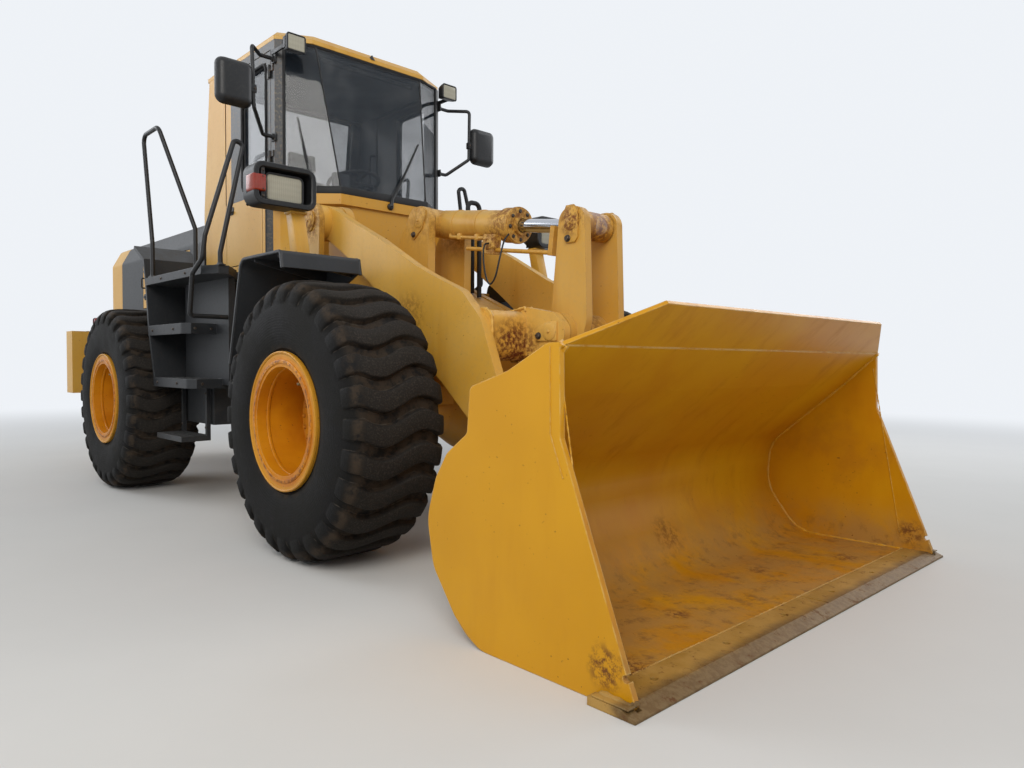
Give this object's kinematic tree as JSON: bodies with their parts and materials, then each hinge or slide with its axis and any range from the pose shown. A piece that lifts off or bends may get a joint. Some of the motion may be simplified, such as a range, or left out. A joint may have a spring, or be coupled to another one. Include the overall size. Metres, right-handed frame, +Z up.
{
  "type": "wheel loader",
  "caption": "Articulated wheel loader with a general purpose bucket, Z-bar boom linkage, raised glazed cab, side ladders and a rear engine hood.",
  "frame": {"origin": "on the ground under the middle of the machine, halfway between the bucket's cutting edge and the rear of the counterweight", "axes": "+X forward towards the bucket, +Y to the machine's left, +Z up"},
  "size_m": [8.055, 2.906, 3.52],
  "materials": {
    "rear_frame": "satin",
    "rear_axle": "satin",
    "engine": "rough",
    "transmission": "rough",
    "hood": "satin",
    "counterweight": "satin",
    "tail_frame": "satin",
    "radiator": "rough",
    "cab": "satin",
    "cab_roof": "satin",
    "cab_glass": "tinted",
    "seat": "woven",
    "seat_base": "matte",
    "steering_column": "matte",
    "platform_left": "satin",
    "platform_right": "satin",
    "handrails": "satin",
    "mirrors": "satin",
    "work_lights": "satin",
    "exhaust": "satin",
    "air_cleaner": "satin",
    "tail_lamps": "smooth",
    "tyre_rear_left": "worn",
    "rim_rear_left": "satin",
    "tyre_rear_right": "worn",
    "rim_rear_right": "satin",
    "front_frame": "satin",
    "front_axle": "satin",
    "front_fender_left": "satin",
    "front_fender_right": "satin",
    "headlight_left": "satin",
    "headlight_right": "satin",
    "hoses": "matte",
    "tyre_front_left": "worn",
    "rim_front_left": "satin",
    "tyre_front_right": "worn",
    "rim_front_right": "satin",
    "boom": "satin",
    "bucket": "satin",
    "cutting_edge": "satin",
    "bell_crank": "satin",
    "bucket_link": "satin",
    "tilt_barrel": "satin",
    "tilt_rod": "polished",
    "lift_barrel_left": "satin",
    "lift_rod_left": "polished",
    "lift_barrel_right": "satin",
    "lift_rod_right": "polished",
    "steer_barrel_left": "satin",
    "steer_rod_left": "polished",
    "steer_barrel_right": "satin",
    "steer_rod_right": "polished",
    "door_left": "satin",
    "door_glass_left": "tinted",
    "door_right": "satin",
    "door_glass_right": "tinted",
    "hood_door_left": "satin",
    "hood_door_right": "satin",
    "grille_door": "satin"
  },
  "bodies": {
    "rear_frame": {"rear_frame": "rear_frame", "rear_axle": "rear_axle", "engine": "engine", "transmission": "transmission", "hood": "hood", "counterweight": "counterweight", "tail_frame": "tail_frame", "radiator": "radiator", "cab": "cab", "cab_roof": "cab_roof", "cab_glass": "cab_glass", "seat": "seat", "seat_base": "seat_base", "steering_column": "steering_column", "platform_left": "platform_left", "platform_right": "platform_right", "handrails": "handrails", "mirrors": "mirrors", "work_lights": "work_lights", "exhaust": "exhaust", "air_cleaner": "air_cleaner", "tail_lamps": "tail_lamps"},
    "wheel_rear_left": {"tyre_rear_left": "tyre_rear_left", "rim_rear_left": "rim_rear_left"},
    "wheel_rear_right": {"tyre_rear_right": "tyre_rear_right", "rim_rear_right": "rim_rear_right"},
    "front_frame": {"front_frame": "front_frame", "front_axle": "front_axle", "front_fender_left": "front_fender_left", "front_fender_right": "front_fender_right", "headlight_left": "headlight_left", "headlight_right": "headlight_right", "hoses": "hoses"},
    "wheel_front_left": {"tyre_front_left": "tyre_front_left", "rim_front_left": "rim_front_left"},
    "wheel_front_right": {"tyre_front_right": "tyre_front_right", "rim_front_right": "rim_front_right"},
    "boom": {"boom": "boom"},
    "bucket": {"bucket": "bucket", "cutting_edge": "cutting_edge"},
    "bell_crank": {"bell_crank": "bell_crank"},
    "bucket_link": {"bucket_link": "bucket_link"},
    "tilt_barrel": {"tilt_barrel": "tilt_barrel"},
    "tilt_rod": {"tilt_rod": "tilt_rod"},
    "lift_barrel_left": {"lift_barrel_left": "lift_barrel_left"},
    "lift_rod_left": {"lift_rod_left": "lift_rod_left"},
    "lift_barrel_right": {"lift_barrel_right": "lift_barrel_right"},
    "lift_rod_right": {"lift_rod_right": "lift_rod_right"},
    "steer_barrel_left": {"steer_barrel_left": "steer_barrel_left"},
    "steer_rod_left": {"steer_rod_left": "steer_rod_left"},
    "steer_barrel_right": {"steer_barrel_right": "steer_barrel_right"},
    "steer_rod_right": {"steer_rod_right": "steer_rod_right"},
    "door_left": {"door_left": "door_left", "door_glass_left": "door_glass_left"},
    "door_right": {"door_right": "door_right", "door_glass_right": "door_glass_right"},
    "hood_door_left": {"hood_door_left": "hood_door_left"},
    "hood_door_right": {"hood_door_right": "hood_door_right"},
    "grille_door": {"grille_door": "grille_door"}
  },
  "joints": [
    {"name": "wheel_front_left_roll", "type": "hinge", "parent": "front_frame", "child": "wheel_front_left", "pos_m": [1.5725, 1.1, 0.78], "axis": [0, 1, 0], "continuous": true},
    {"name": "wheel_front_right_roll", "type": "hinge", "parent": "front_frame", "child": "wheel_front_right", "pos_m": [1.5725, -1.1, 0.78], "axis": [0, 1, 0], "continuous": true},
    {"name": "wheel_rear_left_roll", "type": "hinge", "parent": "rear_frame", "child": "wheel_rear_left", "pos_m": [-1.7275, 1.1, 0.78], "axis": [0, 1, 0], "continuous": true},
    {"name": "wheel_rear_right_roll", "type": "hinge", "parent": "rear_frame", "child": "wheel_rear_right", "pos_m": [-1.7275, -1.1, 0.78], "axis": [0, 1, 0], "continuous": true},
    {"name": "steering", "type": "hinge", "parent": "rear_frame", "child": "front_frame", "pos_m": [-0.0775, 0, 1], "axis": [0, 0, 1], "range_deg": [-35, 35]},
    {"name": "boom_lift", "type": "hinge", "parent": "front_frame", "child": "boom", "pos_m": [0.6525, 0, 2.08], "axis": [0, -1, 0], "range_deg": [-2.5, 84]},
    {"name": "bucket_tilt", "type": "hinge", "parent": "boom", "child": "bucket", "pos_m": [2.7725, 0, 0.33], "axis": [0, 1, 0], "range_deg": [-42, 128]},
    {"name": "bell_crank_turn", "type": "hinge", "parent": "boom", "child": "bell_crank", "pos_m": [2.5425, 0, 1.28], "axis": [0, 1, 0], "range_deg": [-27, 10]},
    {"name": "bucket_link_turn", "type": "hinge", "parent": "bucket", "child": "bucket_link", "pos_m": [2.8825, 0, 0.81], "axis": [0, 1, 0], "range_deg": [-53, 18]},
    {"name": "tilt_barrel_swing", "type": "hinge", "parent": "front_frame", "child": "tilt_barrel", "pos_m": [1.2325, 0, 2.075], "axis": [0, -1, 0], "range_deg": [-4, 105]},
    {"name": "tilt_rod_slide", "type": "slide", "parent": "tilt_barrel", "child": "tilt_rod", "axis": [0.9905, 0, -0.1374], "range_m": [-0.02, 0.46]},
    {"name": "lift_barrel_left_swing", "type": "hinge", "parent": "front_frame", "child": "lift_barrel_left", "pos_m": [0.3225, 0.57, 1.25], "axis": [0, -1, 0], "range_deg": [-2, 57]},
    {"name": "lift_rod_left_slide", "type": "slide", "parent": "lift_barrel_left", "child": "lift_rod_left", "axis": [0.9996, 0, -0.0282], "range_m": [-0.03, 0.84]},
    {"name": "lift_barrel_right_swing", "type": "hinge", "parent": "front_frame", "child": "lift_barrel_right", "pos_m": [0.3225, -0.57, 1.25], "axis": [0, -1, 0], "range_deg": [-2, 57]},
    {"name": "lift_rod_right_slide", "type": "slide", "parent": "lift_barrel_right", "child": "lift_rod_right", "axis": [0.9996, 0, -0.0282], "range_m": [-0.03, 0.84]},
    {"name": "steer_barrel_left_swing", "type": "hinge", "parent": "rear_frame", "child": "steer_barrel_left", "pos_m": [-0.7275, 0.4, 1.02], "axis": [0, 0, 1], "range_deg": [-14, 14]},
    {"name": "steer_rod_left_slide", "type": "slide", "parent": "steer_barrel_left", "child": "steer_rod_left", "axis": [0.9986, -0.0523, 0], "range_m": [-0.235, 0.235]},
    {"name": "steer_barrel_right_swing", "type": "hinge", "parent": "rear_frame", "child": "steer_barrel_right", "pos_m": [-0.7275, -0.4, 1.02], "axis": [0, 0, 1], "range_deg": [-14, 14]},
    {"name": "steer_rod_right_slide", "type": "slide", "parent": "steer_barrel_right", "child": "steer_rod_right", "axis": [0.9986, 0.0523, 0], "range_m": [-0.235, 0.235]},
    {"name": "door_left_swing", "type": "hinge", "parent": "rear_frame", "child": "door_left", "pos_m": [0.1695, 0.7615, 2.6], "axis": [0, 0, 1], "range_deg": [-75, 0]},
    {"name": "door_right_swing", "type": "hinge", "parent": "rear_frame", "child": "door_right", "pos_m": [0.1695, -0.7615, 2.6], "axis": [0, 0, 1], "range_deg": [0, 75]},
    {"name": "hood_door_left_swing", "type": "hinge", "parent": "rear_frame", "child": "hood_door_left", "pos_m": [-1.5505, 0.7115, 1.88], "axis": [0, 0, 1], "range_deg": [-85, 0]},
    {"name": "hood_door_right_swing", "type": "hinge", "parent": "rear_frame", "child": "hood_door_right", "pos_m": [-1.5505, -0.7115, 1.88], "axis": [0, 0, 1], "range_deg": [0, 85]},
    {"name": "grille_door_swing", "type": "hinge", "parent": "rear_frame", "child": "grille_door", "pos_m": [-3.859, 0.64, 1.85], "axis": [0, 0, 1], "range_deg": [-90, 0]}
  ],
  "couplings": [
    {"joint": "bell_crank_turn", "follows": "bucket_tilt", "ratio": -0.197},
    {"joint": "bucket_link_turn", "follows": "bucket_tilt", "ratio": -0.4},
    {"joint": "tilt_barrel_swing", "follows": "boom_lift", "ratio": 1.232},
    {"joint": "tilt_rod_slide", "follows": "boom_lift", "m_per_rad": 0.307},
    {"joint": "lift_barrel_left_swing", "follows": "boom_lift", "ratio": 0.6657},
    {"joint": "lift_rod_left_slide", "follows": "boom_lift", "m_per_rad": 0.562},
    {"joint": "steer_barrel_left_swing", "follows": "steering", "ratio": 0.351},
    {"joint": "steer_rod_left_slide", "follows": "steering", "m_per_rad": -0.3586},
    {"joint": "lift_barrel_right_swing", "follows": "boom_lift", "ratio": 0.6657},
    {"joint": "lift_rod_right_slide", "follows": "boom_lift", "m_per_rad": 0.562},
    {"joint": "steer_barrel_right_swing", "follows": "steering", "ratio": 0.351},
    {"joint": "steer_rod_right_slide", "follows": "steering", "m_per_rad": 0.3586}
  ]
}
